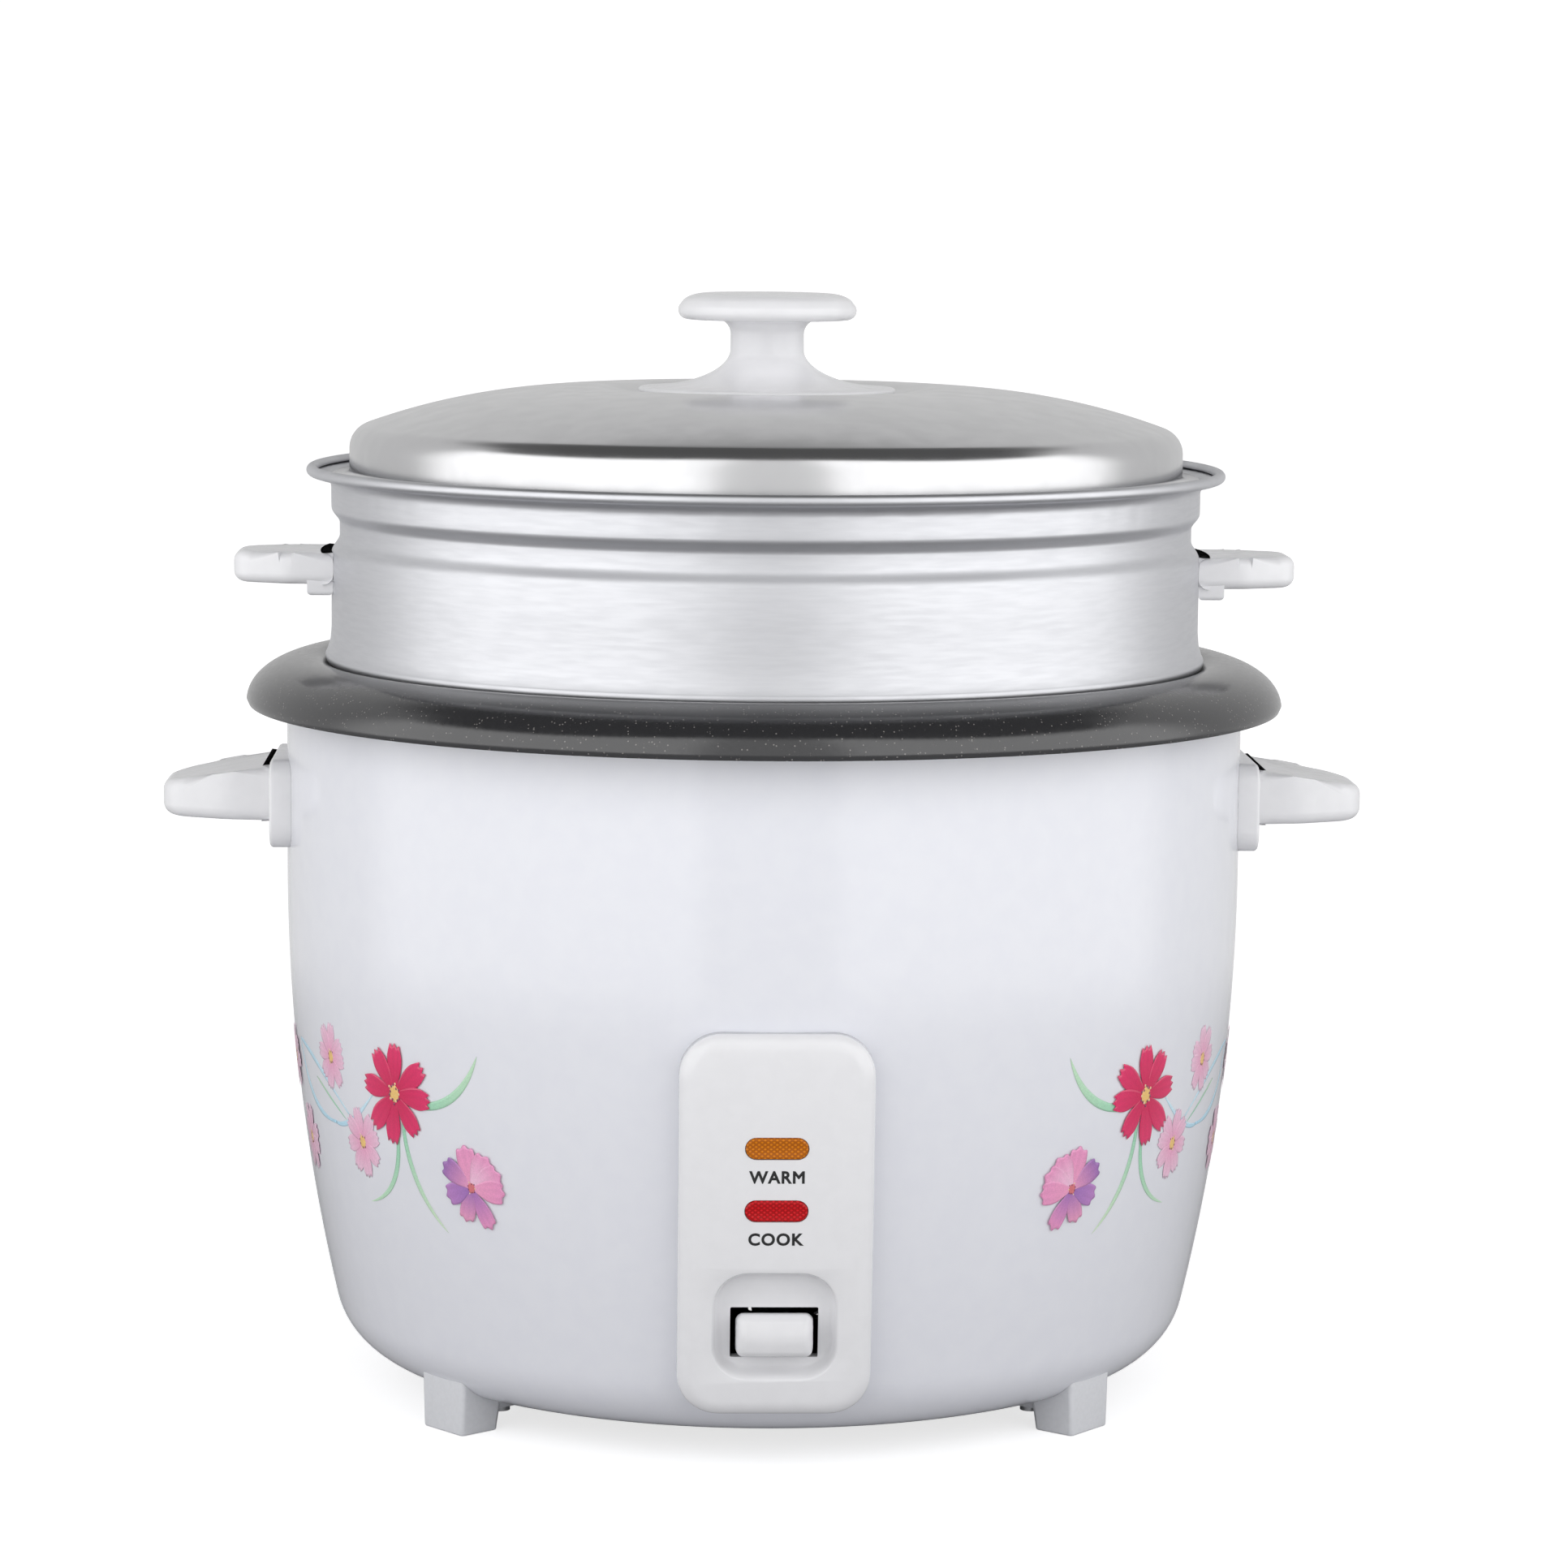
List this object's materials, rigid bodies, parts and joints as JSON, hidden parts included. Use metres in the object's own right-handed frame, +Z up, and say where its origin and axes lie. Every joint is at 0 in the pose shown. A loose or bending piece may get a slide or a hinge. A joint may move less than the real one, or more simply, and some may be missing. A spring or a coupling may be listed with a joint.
{
  "type": "rice cooker",
  "caption": "Drum rice cooker with lever control panel, lift-out pot, steamer basket with side handles and domed lid.",
  "frame": {"origin": "centre of the footprint on the table, level with the underside of the feet", "axes": "+Z up along the drum axis; the control panel faces -Y; the handles lie on the X axis"},
  "size_m": [0.3348, 0.2886, 0.3048],
  "materials": {
    "painted_white": "gloss enamel paint",
    "liner_steel": "satin",
    "zinc_steel": "zinc plated",
    "white_plastic": "gloss white",
    "foot_plastic": "satin white",
    "holder_plastic": "natural",
    "amber_lens": "tinted, ribbed inside",
    "red_lens": "tinted, ribbed inside",
    "lamp_glass": "clear",
    "cast_alloy": "machined casting",
    "element_sheath": "heat darkened sheath",
    "ceramic": "unglazed ceramic",
    "ferrite": "sintered",
    "magnet_grey": "sintered",
    "black_plastic": "moulded",
    "fuse_tin": "tinned",
    "brass_pins": "nickel plated",
    "button_red": "moulded",
    "pot_coating": "speckled non-stick coating on aluminium, satin",
    "steamer_alloy": "bright spun aluminium",
    "lid_steel": "polished stainless steel"
  },
  "bodies": {
    "housing": {"body_shell": "painted_white", "inner_liner": "liner_steel", "base_plate": "zinc_steel", "base_screws": "zinc_steel", "foot_front_left": "foot_plastic", "foot_front_right": "foot_plastic", "foot_rear_left": "foot_plastic", "foot_rear_right": "foot_plastic", "foot_screws": "zinc_steel", "foot_nuts": "zinc_steel", "body_handle_left": "white_plastic", "body_handle_right": "white_plastic", "body_handle_screws": "zinc_steel", "control_panel": "white_plastic", "panel_screws": "zinc_steel", "warm_lens": "amber_lens", "cook_lens": "red_lens", "warm_lamp": "lamp_glass", "cook_lamp": "lamp_glass", "lamp_holder": "holder_plastic", "heating_plate": "cast_alloy", "heating_element": "element_sheath", "element_bushings": "ceramic", "heater_posts": "zinc_steel", "heater_screws": "zinc_steel", "thermostat_housing": "zinc_steel", "lever_bracket": "zinc_steel", "lever_pivot_pin": "zinc_steel", "microswitch": "black_plastic", "thermal_fuse": "fuse_tin", "fuse_clip": "zinc_steel", "keep_warm_thermostat": "black_plastic", "terminal_block": "ceramic", "power_inlet": "black_plastic", "inlet_pins": "brass_pins", "inlet_screws": "zinc_steel"},
    "sensor": {"sensor_cap": "cast_alloy", "ferrite_disc": "ferrite", "thermostat_spring": "zinc_steel"},
    "plunger": {"magnet": "magnet_grey", "plunger_rod": "zinc_steel", "plunger_spring": "zinc_steel"},
    "lever": {"lever_arm": "zinc_steel", "lever_key": "white_plastic"},
    "switch_button": {"switch_button": "button_red"},
    "pot": {"inner_pot": "pot_coating"},
    "steamer": {"steamer_basket": "steamer_alloy", "steamer_handle_left": "white_plastic", "steamer_handle_right": "white_plastic", "steamer_handle_screws": "zinc_steel"},
    "lid": {"lid_shell": "lid_steel", "lid_knob": "white_plastic", "knob_screw": "zinc_steel", "knob_washer": "zinc_steel"}
  },
  "joints": [
    {"name": "lever_pivot", "type": "hinge", "parent": "housing", "child": "lever", "pos_m": [0, -0.06606, 0.0391], "axis": [1, 0, 0], "range_deg": [0, 3], "stiffness_Nm_per_rad": 0.35, "springref_deg": -6.88},
    {"name": "plunger_slide", "type": "slide", "parent": "housing", "child": "plunger", "axis": [0, 0, 1], "range_m": [0, 0.00348], "deforming": ["plunger_spring"]},
    {"name": "switch_travel", "type": "slide", "parent": "housing", "child": "switch_button", "axis": [0, 0, 1], "range_m": [0, 0.00133]},
    {"name": "sensor_press", "type": "slide", "parent": "housing", "child": "sensor", "axis": [0, 0, 1], "range_m": [-0.0015, 0], "stiffness_N_per_m": 600, "springref_m": 0.004, "deforming": ["thermostat_spring"]},
    {"name": "pot_lift", "type": "slide", "parent": "housing", "child": "pot", "axis": [0, 0, 1], "range_m": [0, 0.15]},
    {"name": "steamer_lift", "type": "slide", "parent": "pot", "child": "steamer", "axis": [0, 0, 1], "range_m": [0, 0.08]},
    {"name": "lid_lift", "type": "slide", "parent": "steamer", "child": "lid", "axis": [0, 0, 1], "range_m": [0, 0.08]}
  ],
  "couplings": [
    {"joint": "plunger_slide", "follows": "lever_pivot", "m_per_rad": 0.066062},
    {"joint": "switch_travel", "follows": "lever_pivot", "m_per_rad": 0.025}
  ]
}
